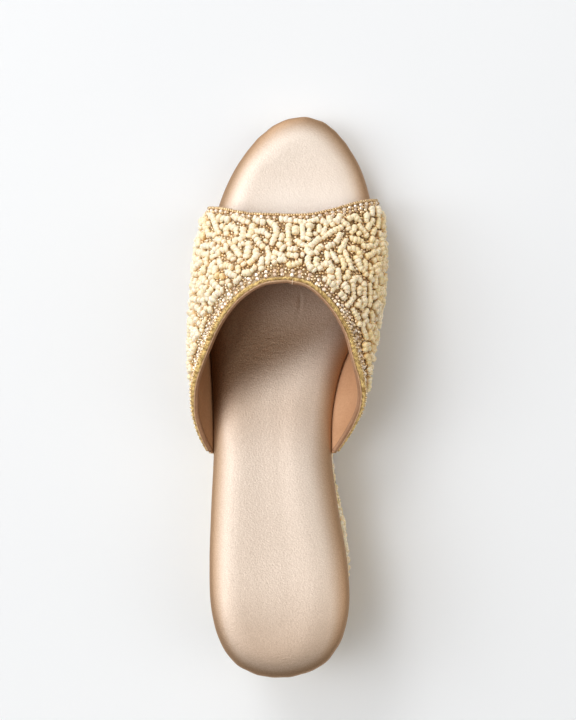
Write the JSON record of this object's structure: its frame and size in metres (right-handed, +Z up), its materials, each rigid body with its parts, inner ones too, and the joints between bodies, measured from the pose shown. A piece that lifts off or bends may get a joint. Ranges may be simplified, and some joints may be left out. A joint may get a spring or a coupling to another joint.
{
  "type": "beaded wedge mule",
  "caption": "Open-toe backless wedge mule with a beaded vamp, padded metallic-leather footbed, covered full-length wedge and thin grooved sole.",
  "frame": {"origin": "on the floor under the middle of the shoe's bounding box", "axes": "+X towards the inner (medial) side of the foot, +Y from heel to toe, +Z up from the floor"},
  "size_m": [0.0829, 0.245, 0.0606],
  "materials": {
    "sole_rubber": "matte",
    "beaded_cloth": "satin",
    "metallic_leather": "satin",
    "gold_cord": "satin",
    "ivory_beads": "satin",
    "champagne_beads": "gloss",
    "lining_leather": "matte"
  },
  "bodies": {
    "root": {"outsole": "sole_rubber", "wedge": "beaded_cloth", "footbed": "metallic_leather", "upper": "beaded_cloth", "throat_cord": "gold_cord"}
  },
  "joints": []
}
